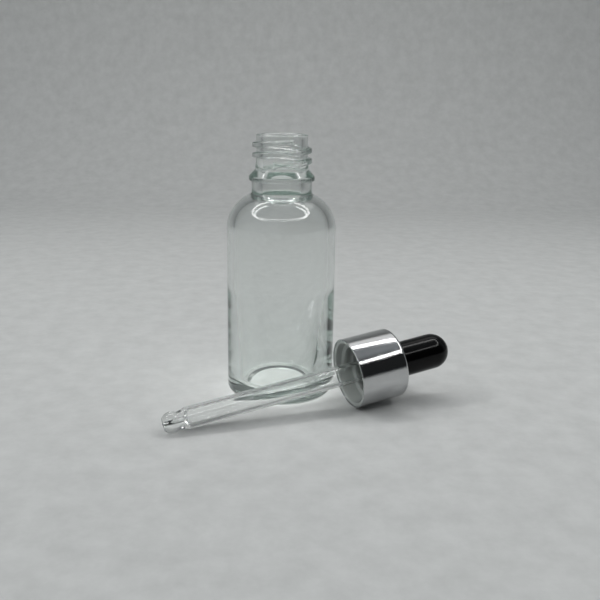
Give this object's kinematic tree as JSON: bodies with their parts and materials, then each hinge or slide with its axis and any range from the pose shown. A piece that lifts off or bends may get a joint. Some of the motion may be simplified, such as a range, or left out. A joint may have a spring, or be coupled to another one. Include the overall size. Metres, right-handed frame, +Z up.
{
  "type": "dropper bottle",
  "caption": "Small clear glass bottle with a screw neck, standing open beside its dropper, which has a metal collar, a black rubber bulb and a straight glass pipette with a ball tip.",
  "frame": {"origin": "on the bottle's axis, in the plane of its foot", "axes": "+Z up along the bottle's axis; the lying dropper points along X, tip towards -X and bulb towards +X, in front of the bottle at -Y"},
  "size_m": [0.09, 0.0486, 0.0795],
  "materials": {
    "clear_glass": "clear moulded",
    "tube_glass": "clear drawn",
    "bright_aluminium": "bright, fine turned lines",
    "liner_plastic": "satin moulded",
    "black_rubber": "glossy"
  },
  "bodies": {
    "bottle": {"bottle": "clear_glass"},
    "dropper": {"pipette": "tube_glass"},
    "collar": {"cap_shell": "bright_aluminium", "cap_liner": "liner_plastic"},
    "teat": {"bulb": "black_rubber"}
  },
  "joints": [
    {"name": "dropper_lift", "type": "slide", "parent": "bottle", "child": "dropper", "axis": [0, 0, 1], "range_m": [0, 0.1]},
    {"name": "cap_turn", "type": "hinge", "parent": "dropper", "child": "collar", "pos_m": [0.01327, -0.0216, 0.01038], "axis": [0.9908, 0, 0.1353], "continuous": true},
    {"name": "bulb_squeeze", "type": "slide", "parent": "dropper", "child": "teat", "axis": [0, 1, 0], "range_m": [0, 0.003], "stiffness_N_per_m": 600, "deforming": ["bulb"]}
  ]
}
